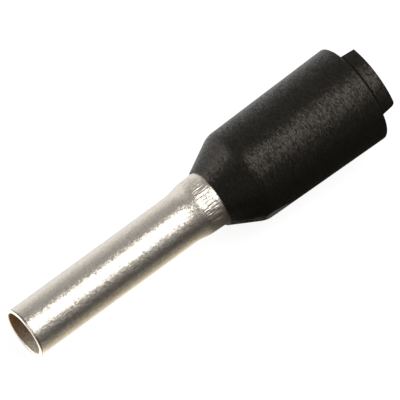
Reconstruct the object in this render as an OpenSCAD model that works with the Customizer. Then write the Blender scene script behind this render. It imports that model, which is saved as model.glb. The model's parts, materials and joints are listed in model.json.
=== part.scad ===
// Insulated wire-end ferrule, lying on its side on a flat surface.
// A drawn sleeve of tinned copper takes the bare strands of one wire. A moulded plastic collar is
// pushed over the sleeve's funnelled rear end and takes the wire's insulation.
//
// Both pieces are drawn standing on the sleeve's mouth, with their axis up +Z, and laid() tips the
// pair over onto the two places that touch a table: the mouth's lip and the collar's shoulder.

/* [Barrel] */
// Diameter of the bore that takes the bare strands
wire_bore_d = 1.78; // [1.4:0.02:2]
// Thickness of the drawn copper wall
wall_t = 0.11; // [0.08:0.01:0.2]
// Length of the straight barrel, from its mouth to where the neck flares
barrel_len = 7.4; // [5:0.1:12]

/* [Barrel mouth] */
// How far the lip that the cut-off tool turns out stands proud of the barrel
lip_rise = 0.07; // [0.03:0.01:0.1]
// Length of the lip along the barrel, in front of the hollow behind it
lip_len = 0.06; // [0.05:0.01:0.1]
// Radius of the lip's outer edge
lip_round = 0.03; // [0.01:0.005:0.04]
// Radius of the bore's edge at the mouth
mouth_round = 0.05; // [0.02:0.01:0.08]

/* [Neck] */
// How far the flare lifts the outside of the neck above the barrel
flare_rise = 0.1; // [0.05:0.01:0.2]
// Length of the flare, up to its crease
flare_len = 0.6; // [0.4:0.05:1]
// Radius that eases the barrel into the flare
flare_blend = 2; // [0.5:0.5:2.5]
// Taper of the neck behind the crease, in degrees from the axis
neck_taper = 2.4; // [1:0.2:6]
// Length of neck that shows between the crease and the collar
neck_show = 0.75; // [0.3:0.05:1.2]
// Length of neck that the collar grips
neck_grip = 0.6; // [0.4:0.05:1]

/* [Funnel] */
// Slope of the funnel inside the collar, in degrees from the axis
funnel_angle = 24; // [18:1:28]
// How far the funnel's rim stays inside the wall of the insulation bore
rim_inset = 0.05; // [0.02:0.01:0.15]

/* [Collar] */
// Length of the collar without its tongue
collar_len = 6.85; // [5.5:0.1:9]
// Diameter of the bore that takes the wire's insulation
insulation_bore_d = 3.4; // [3:0.05:3.5]
// Thickness of plastic at the rear, where the collar is widest
collar_wall = 0.31; // [0.25:0.01:0.5]
// Draft of the body, in degrees a side: it draws out of its mould towards the rear
body_draft = 1.1; // [0:0.1:1.4]
// Slope of the nose cone, in degrees from the axis
nose_angle = 27.6; // [25:0.2:34]
// Thickness of plastic at the front edge
nose_edge = 0.08; // [0.03:0.01:0.12]
// Radius where the nose cone turns into the body
shoulder_round = 0.9; // [0.2:0.1:1]
// Radius of the outer edge at the rear
rear_round = 0.1; // [0.05:0.01:0.15]
// Lead-in at the mouth of the insulation bore
entry_chamfer = 0.08; // [0.04:0.01:0.12]

/* [Tongue] */
// How far the tongue stands out behind the collar
tongue_len = 0.57; // [0.3:0.01:1.5]
// Width of the tongue at its root
tongue_w = 2.64; // [1.5:0.02:2.9]
// Lean of each side of the tongue, in degrees
tongue_lean = 5; // [0:1:10]
// How far the tongue's outside lies below the outside of the collar
tongue_step = 0.09; // [0.03:0.01:0.1]
// Radius of the tongue's worn corner
tongue_round = 0.14; // [0.05:0.01:0.25]
// Turn of the tongue about the axis, in degrees from the top of the lying ferrule
tongue_turn = 24; // [-90:1:90]

/* [Wear] */
// Depth of the flats rubbed on the shoulder: the ferrule lies on one, as it has lain on the other
scuff_depth = 0.04; // [0.02:0.01:0.06]
// Turn of the second flat about the axis, in degrees from the top of the lying ferrule
scuff_turn = 108; // [90:1:130]

/* [Hidden] */
$fn = 96;
// Widest step of the small arcs in the profiles, in degrees
arc_step = 7;
// Depth to which the tongue's block reaches into the collar's wall, so that the two are one piece
tongue_root = rear_round + entry_chamfer;

// Radii of the sleeve
bore_r = wire_bore_d / 2;
barrel_r = bore_r + wall_t;
lip_r = barrel_r + lip_rise;
crease_r = barrel_r + flare_rise;
// The lip's top falls away behind its edge, and a hollow turns it into the barrel
lip_back = barrel_r + 0.8 * lip_rise;
lip_hollow = 0.6 * lip_rise;

// Places along the axis, from the mouth
crease_s = barrel_len + flare_len;
collar_s = crease_s + neck_show;
grip_s = collar_s + neck_grip;
collar_end = collar_s + collar_len;

// The outside of the neck, its funnel and the collar's seat share one slope each
function neck_r(s) = crease_r + (s - crease_s) * tan(neck_taper);
grip_r = neck_r(grip_s);
insulation_r = insulation_bore_d / 2;
rim_r = insulation_r - rim_inset;
function funnel_s(r) = grip_s + (r - grip_r) / tan(funnel_angle);

// The collar's outside: the body widens from the shoulder to the rear
collar_r = insulation_r + collar_wall;
nose_r = neck_r(collar_s) + nose_edge;
function body_r(s) = collar_r - (collar_end - s) * tan(body_draft);
// The shoulder is where the nose cone's line meets the body's line
shoulder_s = collar_s + (body_r(collar_s) - nose_r) / (tan(nose_angle) - tan(body_draft));
tongue_r = collar_r - tongue_step;

// Centre of the arc that rounds the shoulder, which lies between its two slopes
shoulder_half = (nose_angle - body_draft) / 2;
shoulder_mid = (nose_angle + body_draft) / 2;
shoulder_c = [shoulder_s, body_r(shoulder_s)]
    + shoulder_round / cos(shoulder_half) * [sin(shoulder_mid), -cos(shoulder_mid)];
lip_c = [lip_round, lip_r - lip_round];

// The table is the line that touches the lip's edge and cuts scuff_depth into the shoulder's arc
reach = shoulder_c - lip_c;
rest_tilt = atan2(reach.y, reach.x) + asin((shoulder_round - scuff_depth - lip_round) / norm(reach));
rest_z = lip_round + lip_c.y * cos(rest_tilt) - lip_c.x * sin(rest_tilt);
// Ends of the lying ferrule along the table, and so its middle
front_x = lip_c.x * cos(rest_tilt) - lip_c.y * sin(rest_tilt) - lip_round;
rear_x = (collar_end + tongue_len) * cos(rest_tilt);
rest_x = -(front_x + rear_x) / 2;
// Side of a block longer than the whole ferrule, for cutting
past = 2 * (collar_end + tongue_len);

// Points of the arc that rounds the corner at b, between a and c, each [x, y, radius]
function corner(a, b, c) =
    b.z == 0 ? [[b.x, b.y]] :
    let (
        to_a = [a.x - b.x, a.y - b.y] / norm([a.x - b.x, a.y - b.y]),
        to_c = [c.x - b.x, c.y - b.y] / norm([c.x - b.x, c.y - b.y]),
        half = acos(to_a * to_c) / 2,
        middle = (to_a + to_c) / norm(to_a + to_c),
        centre = [b.x, b.y] + middle * b.z / sin(half),
        first = [b.x, b.y] + to_a * b.z / tan(half) - centre,
        last = [b.x, b.y] + to_c * b.z / tan(half) - centre,
        turn = atan2(first.x * last.y - first.y * last.x, first * last),
        steps = ceil(abs(turn) / arc_step),
        start = atan2(first.y, first.x)
    )
    [for (i = [0 : steps]) centre + b.z * [cos(start + turn * i / steps), sin(start + turn * i / steps)]];

// A closed outline with its corners rounded
function rounded(path) = [
    for (i = [0 : len(path) - 1])
        each corner(path[(i + len(path) - 1) % len(path)], path[i], path[(i + 1) % len(path)])
];

// Turns an outline of [along the axis, radius, corner radius] about the axis
module turned(path) {
    rotate_extrude() polygon([for (p = rounded(path)) [p.y, p.x]]);
}

// Lays what is drawn up the Z axis on the table: its mouth to -X, its rear end to +X
module laid() {
    translate([rest_x, 0, rest_z]) rotate([0, 90 - rest_tilt, 0]) children();
}

// One drawn tube: barrel with a turned-out lip, flared neck and funnel
module metal_sleeve() {
    color("silver") laid() turned([
        [0, bore_r, mouth_round],
        [0, lip_r, lip_round],
        [lip_len, lip_back, 0],
        [lip_len, barrel_r, lip_hollow],
        [barrel_len, barrel_r, flare_blend],
        [crease_s, crease_r, 0],
        [grip_s, grip_r, 0],
        [funnel_s(rim_r), rim_r, 0],
        [funnel_s(rim_r), rim_r - wall_t, 0],
        [grip_s, grip_r - wall_t, 0],
        [crease_s, crease_r - wall_t, 0],
        [barrel_len, bore_r, 0]
    ]);
}

// The part of the collar that is round: nose cone, body, and the inside that seats the funnel
module collar_shell() {
    turned([
        [collar_s, neck_r(collar_s), 0],
        [collar_s, nose_r, 0],
        [shoulder_s, body_r(shoulder_s), shoulder_round],
        [collar_end, collar_r, rear_round],
        [collar_end, insulation_r + entry_chamfer, 0],
        [collar_end - entry_chamfer, insulation_r, 0],
        [funnel_s(insulation_r), insulation_r, 0],
        [grip_s, grip_r, 0]
    ]);
}

// The tongue is a piece of the wall that runs on past the rear rim, with one corner worn round
module tongue() {
    lean = tongue_len * tan(tongue_lean);
    end = collar_end + tongue_len;
    root = collar_end - tongue_root;
    intersection() {
        translate([0, 0, root]) difference() {
            cylinder(h = end - root, r = tongue_r);
            cylinder(h = past, r = insulation_r, center = true);
        }
        rotate([90, 0, 90]) linear_extrude(past) polygon(rounded([
            [-tongue_w / 2, root, 0],
            [tongue_w / 2, root, 0],
            [tongue_w / 2, collar_end, 0],
            [tongue_w / 2 - lean, end, tongue_round],
            [lean - tongue_w / 2, end, 0],
            [-tongue_w / 2, collar_end, 0]
        ]));
    }
}

// What the table takes off, were the standing ferrule pressed scuff_depth into it
module rubbed_off() {
    rotate([0, rest_tilt - 90, 0]) translate([-rest_x, 0, -rest_z - past / 2]) cube(past, center = true);
}

// One moulding: the round shell and its tongue, with two flats rubbed on the shoulder
module insulating_collar() {
    color("#2b2a29") laid() difference() {
        union() {
            collar_shell();
            rotate([0, 0, 180 + tongue_turn]) tongue();
        }
        rubbed_off();
        rotate([0, 0, 180 + scuff_turn]) rubbed_off();
    }
}

metal_sleeve();
insulating_collar();
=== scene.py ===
import json
import math

import bpy
from mathutils import Matrix, Vector


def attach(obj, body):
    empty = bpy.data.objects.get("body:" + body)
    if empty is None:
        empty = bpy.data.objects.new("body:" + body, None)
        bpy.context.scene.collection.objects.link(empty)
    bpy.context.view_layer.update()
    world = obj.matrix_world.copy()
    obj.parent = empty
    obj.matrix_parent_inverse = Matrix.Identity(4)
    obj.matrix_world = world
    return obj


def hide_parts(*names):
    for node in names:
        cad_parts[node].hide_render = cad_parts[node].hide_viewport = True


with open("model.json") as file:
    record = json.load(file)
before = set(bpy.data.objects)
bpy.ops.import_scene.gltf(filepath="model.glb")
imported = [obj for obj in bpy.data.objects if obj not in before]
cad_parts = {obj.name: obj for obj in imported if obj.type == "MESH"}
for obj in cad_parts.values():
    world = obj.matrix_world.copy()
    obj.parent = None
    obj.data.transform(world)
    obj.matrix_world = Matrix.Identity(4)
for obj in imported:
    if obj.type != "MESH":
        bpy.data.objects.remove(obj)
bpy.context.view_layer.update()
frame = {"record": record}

# ==================================================================================================
# The sleeve
# One tube of thin copper, drawn and tinned. It is cut off at the mouth, where the tool turns out a
# small lip, and flared at the neck. The drawing die leaves fine scores along the neck.
# ==================================================================================================
MM = 0.001

# The ferrule lies on its lip and its shoulder, so its axis climbs a little towards the wire's entry
wire_bore = next(m for m in frame["record"]["mounts"] if m["name"] == "wire_bore")
axis = Vector(wire_bore["axis"]).normalized()
climb = math.atan2(axis.z, axis.x)

wire_bore_r = 0.89
wall_t = 0.11
barrel_len = 7.4
lip_rise = 0.07
lip_len = 0.06
lip_round = 0.03
mouth_round = 0.05
flare_rise = 0.1
flare_len = 0.6
flare_late = 0.13
flare_blend = 2.2
crease_early = 0.05
crease_round = 1.2
neck_taper = math.radians(2.4)
neck_show = 0.75
neck_grip = 0.6
funnel_angle = math.radians(24)
insulation_r = 1.7
rim_inset = 0.05

barrel_r = wire_bore_r + wall_t
crease_r = barrel_r + flare_rise
crease_s = barrel_len + flare_len
collar_s = crease_s + neck_show
grip_s = collar_s + neck_grip
mouth = Vector(wire_bore["pos_m"]) - axis * (wire_bore["dims"]["length_mm"] / 2 + mouth_round) * MM


def neck_r(s):
    """Outside radius of the neck, s mm behind the mouth."""
    return crease_r + (s - crease_s) * math.tan(neck_taper)


def funnel_s(r):
    """How far behind the mouth the funnel's outside has opened to radius r."""
    return grip_s + (r - neck_r(grip_s)) / math.tan(funnel_angle)


def rounded(corners, longest=0.4):
    """A closed outline in mm from corners [s, r, rounding, longest step to the next corner]."""
    points, steps = [], []
    for i, (s, r, rounding, *step) in enumerate(corners):
        here, before, after = (Vector(corners[k % len(corners)][:2]) for k in (i, i - 1, i + 1))
        to_a, to_b = (before - here).normalized(), (after - here).normalized()
        half = to_a.angle(to_b) / 2
        arc = []
        if rounding:
            centre = here + (to_a + to_b).normalized() * rounding / math.sin(half)
            first, last = (here + to * rounding / math.tan(half) - centre for to in (to_a, to_b))
            turn = first.angle_signed(last)
            count = max(3, math.ceil(abs(turn) / math.radians(5)))
            arc = [centre + Matrix.Rotation(-turn * k / count, 2) @ first for k in range(count + 1)]
        points.append(arc or [here])
        steps.append(step[0] if step else longest)
    outline = []
    for i, arc in enumerate(points):
        outline += arc
        start, end = arc[-1], points[(i + 1) % len(points)][0]
        parts = max(1, math.ceil((end - start).length / steps[i]))
        outline += [start.lerp(end, k / parts) for k in range(1, parts)]
    return outline


def add(tree, kind, inputs=None, **settings):
    """A node of that kind. Each input is named or numbered, and is a value or another node's output."""
    node = tree.nodes.new(kind)
    for name, value in settings.items():
        setattr(node, name, value)
    for name, value in (inputs or {}).items():
        if isinstance(value, bpy.types.NodeSocket):
            tree.links.new(value, node.inputs[name])
        else:
            node.inputs[name].default_value = value
    return node


def sums(tree, operation, a, b=0.0, c=0.0, clamp=False):
    """The result of a Math node."""
    return add(tree, "ShaderNodeMath", {0: a, 1: b, 2: c},
               operation=operation, use_clamp=clamp).outputs[0]


def vectors(tree, operation, a, *b, **scale):
    """The result of a Vector Math node, which is a number for a length or a dot product."""
    operands = {0: a, **dict(enumerate(b, 1)), **scale}
    node = add(tree, "ShaderNodeVectorMath", operands, operation=operation)
    return node.outputs["Value" if operation in ("LENGTH", "DOT_PRODUCT") else "Vector"]


def ranged(tree, value, start, end, low=0.0, high=1.0, **settings):
    """The result of a Map Range node: low at start, high at end, and no further."""
    return add(tree, "ShaderNodeMapRange", {
        "Value": value, "From Min": start, "From Max": end, "To Min": low, "To Max": high},
        **settings).outputs[0]


def new_tree(name, kind, inputs, outputs):
    """A node group with those named sockets, with the nodes for its inputs and its outputs."""
    tree = bpy.data.node_groups.new(name, kind)
    for in_out, sockets in (("INPUT", inputs), ("OUTPUT", outputs)):
        for label, socket in sockets.items():
            tree.interface.new_socket(label, in_out=in_out, socket_type="NodeSocket" + socket)
    return tree, tree.nodes.new("NodeGroupInput").outputs, tree.nodes.new("NodeGroupOutput").inputs


# Turned piece: sweeps an outline, drawn as points (s, r, 0), round the axis
turned_piece, given, result = new_tree(
    "Turned piece", "GeometryNodeTree",
    {"Outline": "Geometry", "Around": "Int"}, {"Shell": "Geometry"})
points_in = add(turned_piece, "GeometryNodeAttributeDomainSize", {0: given["Outline"]}).outputs["Point Count"]
rows = sums(turned_piece, "ADD", points_in, 1)
grid = add(turned_piece, "GeometryNodeMeshGrid",
           {"Vertices X": sums(turned_piece, "ADD", given["Around"], 1), "Vertices Y": rows})
number = add(turned_piece, "GeometryNodeInputIndex").outputs[0]
column = sums(turned_piece, "FLOOR", sums(turned_piece, "DIVIDE", number, rows))
row = sums(turned_piece, "SUBTRACT", number, sums(turned_piece, "MULTIPLY", column, rows))
spot = add(turned_piece, "GeometryNodeSampleIndex", {
    "Geometry": given["Outline"],
    "Value": add(turned_piece, "GeometryNodeInputPosition").outputs[0],
    "Index": sums(turned_piece, "FLOORED_MODULO", row, points_in)}, data_type="FLOAT_VECTOR")
spot = add(turned_piece, "ShaderNodeSeparateXYZ", {0: spot.outputs[0]}).outputs
turn = sums(turned_piece, "MULTIPLY", sums(turned_piece, "DIVIDE", column, given["Around"]), math.tau)
swept = add(turned_piece, "ShaderNodeCombineXYZ", {
    "X": spot["X"],
    "Y": sums(turned_piece, "MULTIPLY", spot["Y"], sums(turned_piece, "SINE", turn)),
    "Z": sums(turned_piece, "MULTIPLY", spot["Y"], sums(turned_piece, "COSINE", turn))}).outputs[0]
shell = add(turned_piece, "GeometryNodeSetPosition",
            {"Geometry": grid.outputs[0], "Position": swept}).outputs[0]
closed = add(turned_piece, "GeometryNodeMergeByDistance",
             {"Geometry": shell, "Distance": 1e-7}).outputs[0]
turned_piece.links.new(closed, result["Shell"])


def from_axis(tree):
    """How far each point of an unlaid piece is along the axis and from it, and which way is out."""
    place = add(tree, "GeometryNodeInputPosition").outputs[0]
    s = add(tree, "ShaderNodeSeparateXYZ", {0: place}).outputs["X"]
    across = vectors(tree, "MULTIPLY", place, (0, 1, 1))
    return s, vectors(tree, "LENGTH", across), vectors(tree, "NORMALIZE", across)


def lay_down(tree, geometry, given, result):
    """The last nodes of a piece's tree: lays it on the table, makes it real and gives it its material."""
    turn = add(tree, "ShaderNodeCombineXYZ", {"Y": sums(tree, "MULTIPLY", given["Climb"], -1)}).outputs[0]
    laid = add(tree, "GeometryNodeTransform",
               {"Geometry": geometry, "Translation": given["Mouth"], "Rotation": turn}).outputs[0]
    real = add(tree, "GeometryNodeRealizeInstances", {0: laid}).outputs[0]
    done = add(tree, "GeometryNodeSetMaterial",
               {"Geometry": real, "Material": given["Material"]}).outputs[0]
    tree.links.new(done, result["Piece"])


def piece_from(tree, name, outline, crease, **sizes):
    """A plain mesh from a tree and an outline in mm, with its edges over crease degrees sharp."""
    wire = bpy.data.meshes.new(name)
    count = len(outline)
    wire.from_pydata([(p.x * MM, p.y * MM, 0) for p in outline],
                     [(i, (i + 1) % count) for i in range(count)], [])
    piece = bpy.data.objects.new(name, wire)
    bpy.context.scene.collection.objects.link(piece)
    made = piece.modifiers.new("Turning", "NODES")
    made.node_group = tree
    for socket in tree.interface.items_tree:
        if socket.in_out == "INPUT" and socket.name in sizes:
            made[socket.identifier] = sizes[socket.name]
    mesh = bpy.data.meshes.new_from_object(piece.evaluated_get(bpy.context.evaluated_depsgraph_get()))
    piece.modifiers.clear()
    piece.data = mesh
    mesh.name = name
    mesh.shade_smooth()
    mesh.set_sharp_from_angle(angle=math.radians(crease))
    return piece


# The sleeve's tree: the turned tube, with scores pressed into the outside of the neck
sleeve_tree, given, result = new_tree(
    "Sleeve", "GeometryNodeTree",
    {"Outline": "Geometry", "Around": "Int", "Scores around": "Float", "Score depth": "Float",
     "Scores from": "Float", "Scores to": "Float", "Scored above": "Float", "Seed": "Float",
     "Mouth": "Vector", "Climb": "Float", "Material": "Material"},
    {"Piece": "Geometry"})
tube = add(sleeve_tree, "GeometryNodeGroup",
           {"Outline": given["Outline"], "Around": given["Around"]}, node_tree=turned_piece)
s, r, away = from_axis(sleeve_tree)
pitch = vectors(sleeve_tree, "SCALE", away,
                Scale=sums(sleeve_tree, "DIVIDE", given["Scores around"], math.tau))
score_wander = 1.2 / MM
run = add(sleeve_tree, "ShaderNodeCombineXYZ",
          {"X": sums(sleeve_tree, "MULTIPLY", s, score_wander)}).outputs[0]
wander = add(sleeve_tree, "ShaderNodeTexNoise", {
    "Vector": vectors(sleeve_tree, "ADD", pitch, run), "W": given["Seed"],
    "Scale": 1.0, "Detail": 1.0}, noise_dimensions="4D").outputs[0]
score = ranged(sleeve_tree, wander, 0.4, 0.6, interpolation_type="SMOOTHSTEP")
starts = ranged(sleeve_tree, s, given["Scores from"],
                sums(sleeve_tree, "ADD", given["Scores from"], 0.05 * MM))
ends = ranged(sleeve_tree, s, given["Scores to"],
              sums(sleeve_tree, "SUBTRACT", given["Scores to"], 0.15 * MM))
inward = sums(sleeve_tree, "MULTIPLY", given["Score depth"], -1)
depth = sums(sleeve_tree, "MULTIPLY", sums(sleeve_tree, "MULTIPLY", starts, ends),
             sums(sleeve_tree, "MULTIPLY", score, inward))
outside = add(sleeve_tree, "FunctionNodeCompare", {"A": r, "B": given["Scored above"]},
              data_type="FLOAT", operation="GREATER_THAN").outputs[0]
scored = add(sleeve_tree, "GeometryNodeSetPosition", {
    "Geometry": tube.outputs[0], "Selection": outside,
    "Offset": vectors(sleeve_tree, "SCALE", away, Scale=depth)}).outputs[0]
lay_down(sleeve_tree, scored, given, result)


def along_the_axis(tree):
    """Object coordinates in mm, turned so that X runs along the ferrule's axis from its mouth."""
    turn = Matrix.Rotation(climb, 3, "Y")
    return add(tree, "ShaderNodeMapping", {
        "Vector": add(tree, "ShaderNodeTexCoord").outputs["Object"],
        "Location": turn @ mouth / -MM, "Rotation": (0, climb, 0), "Scale": (1 / MM,) * 3}).outputs[0]


# Grain: small facets that each lean their own way, over a coarser mottle
grain, given, result = new_tree(
    "Grain", "ShaderNodeTree",
    {"Place": "Vector", "Facet size": "Float", "Lean": "Float", "Stretch": "Float",
     "Mottle size": "Float", "Mottle height": "Float"},
    {"Normal": "Vector", "Facet": "Float", "Mottle": "Float"})
drawn_out = add(grain, "ShaderNodeCombineXYZ", {
    "X": sums(grain, "DIVIDE", 1, given["Stretch"]), "Y": 1.0, "Z": 1.0}).outputs[0]
place = vectors(grain, "MULTIPLY", given["Place"], drawn_out)
facets = add(grain, "ShaderNodeTexVoronoi",
             {"Vector": place, "Scale": sums(grain, "DIVIDE", 1, given["Facet size"])}).outputs
mottle = add(grain, "ShaderNodeTexNoise", {
    "Vector": place, "Scale": sums(grain, "DIVIDE", 1, given["Mottle size"]),
    "Detail": 2.0, "Roughness": 0.5}).outputs[0]
swell = add(grain, "ShaderNodeBump",
            {"Height": mottle, "Strength": 1.0, "Distance": given["Mottle height"]}).outputs[0]
leaning = vectors(grain, "SCALE", vectors(grain, "SUBTRACT", facets["Color"], (0.5, 0.5, 0.5)),
                  Scale=given["Lean"])
grained = vectors(grain, "NORMALIZE", vectors(grain, "ADD", swell, leaning))
grain.links.new(grained, result["Normal"])
grain.links.new(add(grain, "ShaderNodeSeparateColor", {0: facets["Color"]}).outputs[0], result["Facet"])
grain.links.new(mottle, result["Mottle"])


def mixed(tree, factor, a, b):
    """One colour laid over another by a factor."""
    return add(tree, "ShaderNodeMix", {"Factor": factor, "A": a, "B": b}, data_type="RGBA").outputs["Result"]


def new_material(name):
    """A material with an empty tree and a Principled shader on its output."""
    material = bpy.data.materials.new(name)
    material.use_nodes = True
    tree = material.node_tree
    tree.nodes.clear()
    shader = add(tree, "ShaderNodeBsdfPrincipled")
    tree.links.new(shader.outputs[0], add(tree, "ShaderNodeOutputMaterial").inputs["Surface"])
    return material, tree, shader.inputs


# Satin tin: a warm white metal, grained by the hot dip. Inside the bore a dark copper tone
# shows on the far wall only, as copper and partly painted shade, and a painted shade line sits behind the
# lip.
satin_tin, tree, shader = new_material("Satin tin")
place = along_the_axis(tree)
tin_grain = add(tree, "ShaderNodeGroup", {
    "Place": place, "Facet size": 0.042, "Lean": 0.1, "Stretch": 1.2, "Mottle size": 0.14,
    "Mottle height": 1.2e-5}, node_tree=grain).outputs
dull_tin, bright_tin = (0.68, 0.62, 0.53, 1), (0.86, 0.80, 0.71, 1)
copper_and_shade, painted_lip_shade = (0.3, 0.17, 0.09, 1), (0.12, 0.1, 0.08, 1)
tint = mixed(tree, tin_grain["Facet"], dull_tin, bright_tin)
off_axis = add(tree, "ShaderNodeSeparateXYZ", {0: place}).outputs
radius = vectors(tree, "LENGTH", add(
    tree, "ShaderNodeCombineXYZ", {"X": off_axis["Y"], "Y": off_axis["Z"]}).outputs[0])
inside = ranged(tree, radius, wire_bore_r + 0.03, wire_bore_r + 0.01)
# Partly painted shade: a dark copper tone inside the bore, laid only on the far wall, where the bore lies in
# shade.
shaded_copper_side = ranged(tree, off_axis["Y"], 0.0, 0.8)
bare = mixed(tree, sums(tree, "MULTIPLY", inside, shaded_copper_side), tint, copper_and_shade)
# Painted shade: a dark line on the outside just behind the lip, where the groove behind it lies in shade.
behind_lip = sums(tree, "MULTIPLY", sums(tree, "GREATER_THAN", off_axis["X"], 0.03),
                  ranged(tree, off_axis["X"], 0.12, 0.09))
painted_lip_shade_mask = sums(tree, "MULTIPLY", behind_lip, sums(tree, "SUBTRACT", 0.7, inside), clamp=True)
tree.links.new(mixed(tree, painted_lip_shade_mask, bare, painted_lip_shade), shader["Base Color"])
shader["Metallic"].default_value = 1.0
rough = ranged(tree, tin_grain["Mottle"], 0.3, 0.7, 0.33, 0.37)
rough_in_bore = 0.6
dull = add(tree, "ShaderNodeMix", {"Factor": inside, "A": rough, "B": rough_in_bore}).outputs[0]
tree.links.new(dull, shader["Roughness"])
tree.links.new(tin_grain["Normal"], shader["Normal"])

rim_r = insulation_r - rim_inset
sleeve = piece_from(sleeve_tree, "sleeve_drawn", rounded([
    (0, wire_bore_r, mouth_round),
    (0, barrel_r + lip_rise, lip_round),
    (lip_len, barrel_r + 0.8 * lip_rise, 0.01, 0.02),
    (lip_len, barrel_r, 0.6 * lip_rise),
    (barrel_len + flare_late, barrel_r, flare_blend, 0.1),
    (crease_s - crease_early, neck_r(crease_s - crease_early), crease_round, 0.03),
    (collar_s, neck_r(collar_s), 0, 0.1),
    (grip_s, neck_r(grip_s), 0.1),
    (funnel_s(rim_r), rim_r, 0.02, 0.05),
    (funnel_s(rim_r), rim_r - wall_t, 0.02),
    (grip_s, neck_r(grip_s) - wall_t, 0.1),
    (crease_s, crease_r - wall_t, 0),
    (barrel_len, wire_bore_r, 0),
]), crease=40, Around=640, Mouth=mouth, Climb=climb, Material=satin_tin, Seed=4.0,
    **{"Scores around": 125.0, "Score depth": 0.01 * MM, "Scores from": (crease_s + 0.02) * MM,
       "Scores to": (collar_s - 0.1) * MM, "Scored above": 1.05 * MM})
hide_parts("metal_sleeve")
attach(sleeve, "root")

# ==================================================================================================
# The collar
# One moulding of black plastic, pushed over the neck. Its nose cone widens to the shoulder, and a
# tongue of its wall runs on past the rear rim. Handling has rubbed two flats on the shoulder.
# ==================================================================================================
collar_len = 6.85
collar_wall = 0.31
body_draft = math.radians(1.1)
nose_angle = math.radians(27.6)
nose_edge = 0.08
shoulder_round = 0.9
rear_round = 0.1
entry_chamfer = 0.08
tongue_len = 0.57
tongue_w = 2.64
tongue_lean = math.radians(5)
tongue_step = 0.09
tongue_round = 0.14
tongue_turn = math.radians(24)
scuff_turn = math.radians(108)

collar_end = collar_s + collar_len
collar_r = insulation_r + collar_wall
nose_r = neck_r(collar_s) + nose_edge
body_front_r = collar_r - collar_len * math.tan(body_draft)
shoulder_s = collar_s + (body_front_r - nose_r) / (math.tan(nose_angle) - math.tan(body_draft))
shoulder_r = body_front_r + (shoulder_s - collar_s) * math.tan(body_draft)

# Rubbed flat: presses what lies past a table's plane back onto it, and marks it
rubbed_flat, given, result = new_tree(
    "Rubbed flat", "GeometryNodeTree",
    {"Shell": "Geometry", "Turn": "Float", "Climb": "Float", "Mouth": "Vector",
     "Burr": "Float", "Burr width": "Float"},
    {"Shell": "Geometry"})
place = add(rubbed_flat, "GeometryNodeInputPosition").outputs[0]
down = add(rubbed_flat, "ShaderNodeCombineXYZ", {
    "X": sums(rubbed_flat, "MULTIPLY", sums(rubbed_flat, "SINE", given["Climb"]), -1),
    "Y": sums(rubbed_flat, "MULTIPLY", sums(rubbed_flat, "SINE", given["Turn"]),
              sums(rubbed_flat, "MULTIPLY", sums(rubbed_flat, "COSINE", given["Climb"]), -1)),
    "Z": sums(rubbed_flat, "MULTIPLY", sums(rubbed_flat, "COSINE", given["Turn"]),
              sums(rubbed_flat, "COSINE", given["Climb"]))}).outputs[0]
reach = vectors(rubbed_flat, "DOT_PRODUCT", place, down)
height = add(rubbed_flat, "ShaderNodeSeparateXYZ", {0: given["Mouth"]}).outputs["Z"]
past = sums(rubbed_flat, "SUBTRACT", reach, height)
pressed = sums(rubbed_flat, "MAXIMUM", past, 0)
near = sums(rubbed_flat, "SUBTRACT", 1, sums(
    rubbed_flat, "DIVIDE", sums(rubbed_flat, "ABSOLUTE", past), given["Burr width"]), clamp=True)
outside = sums(rubbed_flat, "LESS_THAN", past, 0)
raised = sums(rubbed_flat, "MULTIPLY", sums(rubbed_flat, "MULTIPLY", near, outside), given["Burr"])
moved = add(rubbed_flat, "GeometryNodeSetPosition", {
    "Geometry": given["Shell"],
    "Offset": vectors(rubbed_flat, "SCALE", down,
                      Scale=sums(rubbed_flat, "SUBTRACT", raised, pressed))}).outputs[0]
before = add(rubbed_flat, "GeometryNodeInputNamedAttribute", {"Name": "rubbed"},
             data_type="FLOAT").outputs[0]
mark = ranged(rubbed_flat, past, sums(rubbed_flat, "MULTIPLY", given["Burr width"], -1), 0.0)
marked = add(rubbed_flat, "GeometryNodeStoreNamedAttribute", {
    "Geometry": moved, "Name": "rubbed", "Value": sums(rubbed_flat, "MAXIMUM", before, mark)},
    data_type="FLOAT", domain="POINT").outputs[0]
rubbed_flat.links.new(marked, result["Shell"])

# The collar's tree: the turned shell with its two flats
collar_tree, given, result = new_tree(
    "Collar", "GeometryNodeTree",
    {"Outline": "Geometry", "Around": "Int", "Flat turn": "Float", "Burr": "Float", "Burr width": "Float",
     "Tongue": "Object", "Mouth": "Vector", "Climb": "Float", "Material": "Material"},
    {"Piece": "Geometry"})
worn = add(collar_tree, "GeometryNodeGroup",
           {"Outline": given["Outline"], "Around": given["Around"]}, node_tree=turned_piece).outputs[0]
# The ferrule lies on the first flat, so only the second keeps its burr
for turn, burr in ((math.pi, 0.0), (given["Flat turn"], given["Burr"])):
    worn = add(collar_tree, "GeometryNodeGroup", {
        "Shell": worn, "Turn": turn, "Climb": given["Climb"], "Mouth": given["Mouth"],
        "Burr": burr, "Burr width": given["Burr width"]}, node_tree=rubbed_flat).outputs[0]
tongue_in = add(collar_tree, "GeometryNodeObjectInfo", {"Object": given["Tongue"]}).outputs["Geometry"]
union = add(collar_tree, "GeometryNodeMeshBoolean", operation="UNION", solver="EXACT")
collar_tree.links.new(tongue_in, union.inputs["Mesh 2"])
collar_tree.links.new(worn, union.inputs["Mesh 2"])
lay_down(collar_tree, union.outputs[0], given, result)

# The tongue: a strip of the collar's wall between two leaning sides, with one corner worn round
tongue_out = collar_r - tongue_step
tongue_in_r = insulation_r + 0.002
root_s = collar_end - rear_round - entry_chamfer
tip_s = collar_end + tongue_len


def tongue_edge(s):
    """Half the tongue's width, s mm behind the mouth."""
    return tongue_w / 2 - max(0, s - collar_end) * math.tan(tongue_lean)


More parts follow.
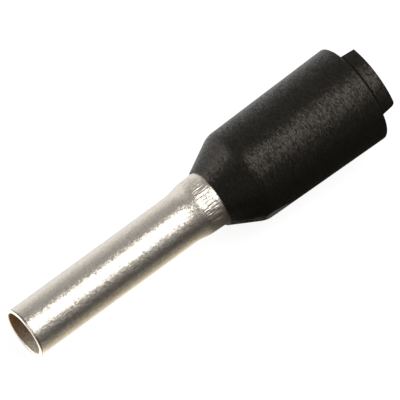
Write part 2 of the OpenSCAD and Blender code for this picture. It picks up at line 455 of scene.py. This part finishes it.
def tongue_end(across):
    """How far back the tongue reaches, across mm from its middle."""
    turn_from = tongue_edge(tip_s) - tongue_round
    if across < turn_from:
        return tip_s
    drop = min(1, (across - turn_from) / tongue_round)
    return tip_s - tongue_round * (1 - math.sqrt(1 - drop * drop))


spans = [root_s] + [collar_end + tongue_len * k / 12 for k in range(13)]
lanes = [k / 40 for k in range(-40, 41)]
corners, faces = [], []
for r in (tongue_in_r, tongue_out):
    for k, s in enumerate(spans):
        for lane in lanes:
            across = lane * tongue_edge(s)
            full = tongue_end(lane * tongue_edge(tip_s)) - root_s
            back = min(s, root_s + full * (s - root_s) / (tip_s - root_s))
            up = math.sqrt(r * r - across * across)
            corners.append(Matrix.Rotation(tongue_turn, 3, "X") @ Vector((back, -across, up)) * MM)
wide, layer = len(lanes), len(lanes) * len(spans)
for k in range(len(spans) - 1):
    for j in range(wide - 1):
        a = k * wide + j
        faces.append((a, a + wide, a + wide + 1, a + 1))
        faces.append(tuple(layer + i for i in (a, a + 1, a + wide + 1, a + wide)))
ring = ([j for j in range(wide)] + [k * wide + wide - 1 for k in range(1, len(spans))]
        + [layer - wide + j for j in range(wide - 2, -1, -1)]
        + [k * wide for k in range(len(spans) - 2, 0, -1)])
for a, b in zip(ring, ring[1:] + ring[:1]):
    faces.append((a, b, b + layer, a + layer))
tongue_mesh = bpy.data.meshes.new("tongue")
tongue_mesh.from_pydata(corners, [], faces)
tongue = bpy.data.objects.new("tongue", tongue_mesh)
bpy.context.scene.collection.objects.link(tongue)

# Black plastic: matt, with the fine leathery grain of an eroded mould, greyed where it is rubbed.
# Scratches run over the cone beside the second flat, and painted shade dims the tongue's root.
black_plastic, tree, shader = new_material("Black plastic")
place = along_the_axis(tree)
skin = add(tree, "ShaderNodeGroup", {
    "Place": place, "Facet size": 0.09, "Lean": 0.18, "Stretch": 0.38, "Mottle size": 0.5,
    "Mottle height": 1e-5}, node_tree=grain).outputs
deep_black, faded_black = (0.0075, 0.0068, 0.0055, 1), (0.012, 0.0108, 0.009, 1)
rubbed_grey = (0.35, 0.34, 0.33, 1)
black = mixed(tree, skin["Mottle"], deep_black, faded_black)
rubbed = add(tree, "ShaderNodeAttribute", attribute_name="rubbed").outputs["Fac"]
spot = add(tree, "ShaderNodeSeparateXYZ", {0: place}).outputs
outward = vectors(tree, "NORMALIZE", add(
    tree, "ShaderNodeCombineXYZ", {"X": spot["Y"], "Y": spot["Z"]}).outputs[0])
scratch_turn = scuff_turn + 0.12
scratch_fades, scratch_full = math.cos(0.35), math.cos(0.1)
beside = ranged(
    tree, vectors(tree, "DOT_PRODUCT", outward, (-math.sin(scratch_turn), math.cos(scratch_turn), 0)),
    scratch_fades, scratch_full)
on_cone = sums(tree, "LESS_THAN", spot["X"], shoulder_s + 0.2)
scratched = sums(tree, "MULTIPLY", sums(tree, "MULTIPLY", beside, on_cone),
                 ranged(tree, skin["Facet"], 0.45, 0.9, 0.0, 0.8))
greyed = mixed(tree, sums(tree, "MAXIMUM", rubbed, scratched), black, rubbed_grey)
tree.links.new(greyed, shader["Base Color"])
shader["Roughness"].default_value = 0.34
tree.links.new(skin["Normal"], shader["Normal"])
glint = ranged(tree, skin["Facet"], 0.0, 1.0, 0.12, 0.38)
# Painted shade: the specular is taken out in a thin band at the tongue's root, where the step lies in shade.
corner_s = collar_end + 0.01
near_corner = sums(tree, "ABSOLUTE", sums(tree, "SUBTRACT", spot["X"], corner_s))
painted_root_shade = sums(tree, "MULTIPLY", sums(tree, "LESS_THAN", near_corner, 0.04),
                 sums(tree, "GREATER_THAN", spot["X"], collar_end - 0.02))
tree.links.new(sums(tree, "MULTIPLY", glint, sums(tree, "SUBTRACT", 1, painted_root_shade)),
               shader["Specular IOR Level"])
shader["Specular Tint"].default_value = (1.0, 0.91, 0.8, 1)

collar = piece_from(collar_tree, "collar_moulded", rounded([
    (collar_s, neck_r(collar_s), 0.01, 0.02),
    (collar_s, nose_r, 0.03, 0.15),
    (shoulder_s, shoulder_r, shoulder_round, 0.2),
    (collar_end, collar_r, rear_round, 0.05),
    (collar_end, insulation_r + entry_chamfer, 0, 0.03),
    (collar_end - entry_chamfer, insulation_r, 0),
    (funnel_s(insulation_r), insulation_r, 0),
    (grip_s, neck_r(grip_s), 0),
], longest=0.5), crease=35, Around=360, Tongue=tongue, Mouth=mouth, Climb=climb, Material=black_plastic,
    Burr=0.004 * MM, **{"Flat turn": scuff_turn, "Burr width": 0.01 * MM})
bpy.data.objects.remove(tongue)
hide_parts("insulating_collar")
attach(collar, "root")

# ==================================================================================================
# The table, the lamps and the camera
# A plain pale table under one large softbox with a brighter strip, a softbox and a window to the
# side. What the metal mirrors of the table is a painted reflection, glowing and set by place, with
# a painted shadow; the camera sees the table plain and pale.
# ==================================================================================================


def ramp(tree, value, stops):
    """A colour ramp over a value, from stops of (place, colour) in order from 0 to 1."""
    node = add(tree, "ShaderNodeValToRGB", {"Fac": value})
    elements = node.color_ramp.elements
    elements[0].color, elements[1].color = stops[0][1], stops[-1][1]
    for place, colour in stops[1:-1]:
        elements.new(place).color = colour
    return node.outputs[0]


white_table, tree, shader = new_material("White table")
tree.nodes.clear()
spot = add(tree, "ShaderNodeSeparateXYZ", {0: add(tree, "ShaderNodeTexCoord").outputs["Object"]}).outputs
# Painted reflection: reflections and bounce see the table as painted bands across it, dark in front and
# bright behind, glowing for reflections; the camera sees it plain and pale.
depth = ranged(tree, spot["Y"], -6.0 * MM, 4.0 * MM)
painted_reflection_bands = ramp(tree, depth, (
    (0.0, (0.045, 0.037, 0.028, 1)), (0.25, (0.26, 0.26, 0.26, 1)), (0.36, (0.32, 0.27, 0.19, 1)),
    (0.45, (0.72, 0.65, 0.5, 1)), (0.5, (1.0, 0.98, 0.93, 1)), (0.6, (0.35, 0.34, 0.32, 1)),
    (1.0, (1, 1, 1, 1))))
# Painted shadow: the table's painted bands go dark in front of the collar.
painted_collar_shadow = sums(tree, "MULTIPLY", ranged(tree, spot["X"], -0.3 * MM, 1.0 * MM),
                 ranged(tree, spot["Y"], 0.0, -1.0 * MM))
shaded = mixed(tree, painted_collar_shadow, painted_reflection_bands, (0.05, 0.045, 0.035, 1))
top_face = add(tree, "ShaderNodeBsdfDiffuse", {"Color": (0.8, 0.8, 0.8, 1)}).outputs[0]
bounced = add(tree, "ShaderNodeBsdfDiffuse", {"Color": shaded}).outputs[0]
# Painted reflection: the table glows brighter in reflections ahead of the mouth.
painted_glow_ahead = ranged(tree, spot["X"], -8.0 * MM, -7.4 * MM, 2.6, 1.0)
mirrored = add(tree, "ShaderNodeEmission", {"Color": shaded, "Strength": painted_glow_ahead}).outputs[0]
shadow_share, glow_level = 0.25, 0.89
glow = add(tree, "ShaderNodeEmission", {"Color": (1, 1, 1, 1), "Strength": glow_level}).outputs[0]
dark = add(tree, "ShaderNodeEmission", {"Strength": 0.0}).outputs[0]
paths = add(tree, "ShaderNodeLightPath").outputs
shadowed = add(tree, "ShaderNodeMixShader", {0: shadow_share, 1: dark, 2: top_face}).outputs[0]
white = add(tree, "ShaderNodeAddShader", {0: shadowed, 1: glow}).outputs[0]
in_metal = sums(tree, "MAXIMUM", paths["Is Glossy Ray"], paths["Is Transmission Ray"])
unseen = add(tree, "ShaderNodeMixShader", {0: in_metal, 1: bounced, 2: mirrored}).outputs[0]
seen = add(tree, "ShaderNodeMixShader", {0: paths["Is Camera Ray"], 1: unseen, 2: white}).outputs[0]
tree.links.new(seen, add(tree, "ShaderNodeOutputMaterial").inputs["Surface"])
half = 2.0
top = bpy.data.meshes.new("table")
top.from_pydata([(-half, -half, 0), (half, -half, 0), (half, half, 0), (-half, half, 0)],
                [], [(0, 1, 2, 3)])
top.materials.append(white_table)
table = bpy.data.objects.new("table", top)
bpy.context.scene.collection.objects.link(table)

world = bpy.data.worlds.new("Studio")
bpy.context.scene.world = world
world.use_nodes = True
tree = world.node_tree
tree.nodes.clear()
to = add(tree, "ShaderNodeSeparateXYZ", {0: add(tree, "ShaderNodeTexCoord").outputs["Generated"]}).outputs
grey = ramp(tree, ranged(tree, to["Y"], -1.0, 1.0), [
    (place, (level, level, level, 1)) for place, level in (
        (0.0, 0.045), (0.1, 0.32), (0.5, 0.16), (0.75, 0.25), (0.85, 0.38), (0.925, 0.42), (1.0, 1.0))])
wall = add(tree, "ShaderNodeBackground", {"Color": grey, "Strength": 1.0}).outputs[0]
bare = add(tree, "ShaderNodeBackground", {"Color": (1, 1, 1, 1), "Strength": 1.0}).outputs[0]
tree.links.new(add(tree, "ShaderNodeMixShader", {
    0: add(tree, "ShaderNodeLightPath").outputs["Is Camera Ray"], 1: wall, 2: bare}).outputs[0],
    add(tree, "ShaderNodeOutputWorld").inputs["Surface"])

across = Vector((0, 1, 0))
upright = axis.cross(across)


def softbox(name, turn, lean, distance, wide, long, radiance):
    """A lamp facing the ferrule, turn degrees from upright towards -Y and lean towards +X."""
    t, n = math.radians(turn), math.radians(lean)
    away = (upright * math.cos(t) - across * math.sin(t)) * math.cos(n) + axis * math.sin(n)
    lamp = bpy.data.lights.new(name, "AREA")
    lamp.shape = "RECTANGLE"
    lamp.size, lamp.size_y = wide, long
    lamp.energy = radiance * math.pi * wide * long
    box = bpy.data.objects.new(name, lamp)
    side = axis.cross(away).normalized()
    turned = Matrix((side, away.cross(side), away)).transposed().to_4x4()
    box.matrix_world = Matrix.Translation(away * distance) @ turned
    box.visible_camera = False
    bpy.context.scene.collection.objects.link(box)


softbox("main_softbox", turn=21.5, lean=35, distance=0.25, wide=0.21, long=0.29, radiance=2.4)
softbox("key_strip", turn=12, lean=35, distance=0.24, wide=0.07, long=0.28, radiance=2.0)
softbox("side_softbox", turn=-57, lean=-42, distance=0.25, wide=0.14, long=0.12, radiance=6.5)
softbox("window", turn=-62, lean=-14, distance=0.25, wide=0.134, long=0.061, radiance=1.0)

heading, height, distance = math.radians(38.69), math.radians(57.42), 0.370
look = Vector((math.cos(height) * math.sin(heading), math.cos(height) * math.cos(heading), -math.sin(height)))
right = Vector((math.cos(heading), -math.sin(heading), 0))
top_side = right.cross(look)
aim = Vector((0, 0, 1.8)) * MM + right * 0.188 * MM + top_side * 0.276 * MM
camera = bpy.data.objects.new("camera", bpy.data.cameras.new("camera"))
camera.data.sensor_width = 36
camera.data.lens = 905.9
camera.data.clip_start = 0.01
camera.matrix_world = (Matrix.Translation(aim - look * distance)
                       @ Matrix((right, top_side, -look)).transposed().to_4x4())
bpy.context.scene.collection.objects.link(camera)
bpy.context.scene.camera = camera
bpy.context.scene.view_settings.view_transform = "Standard"
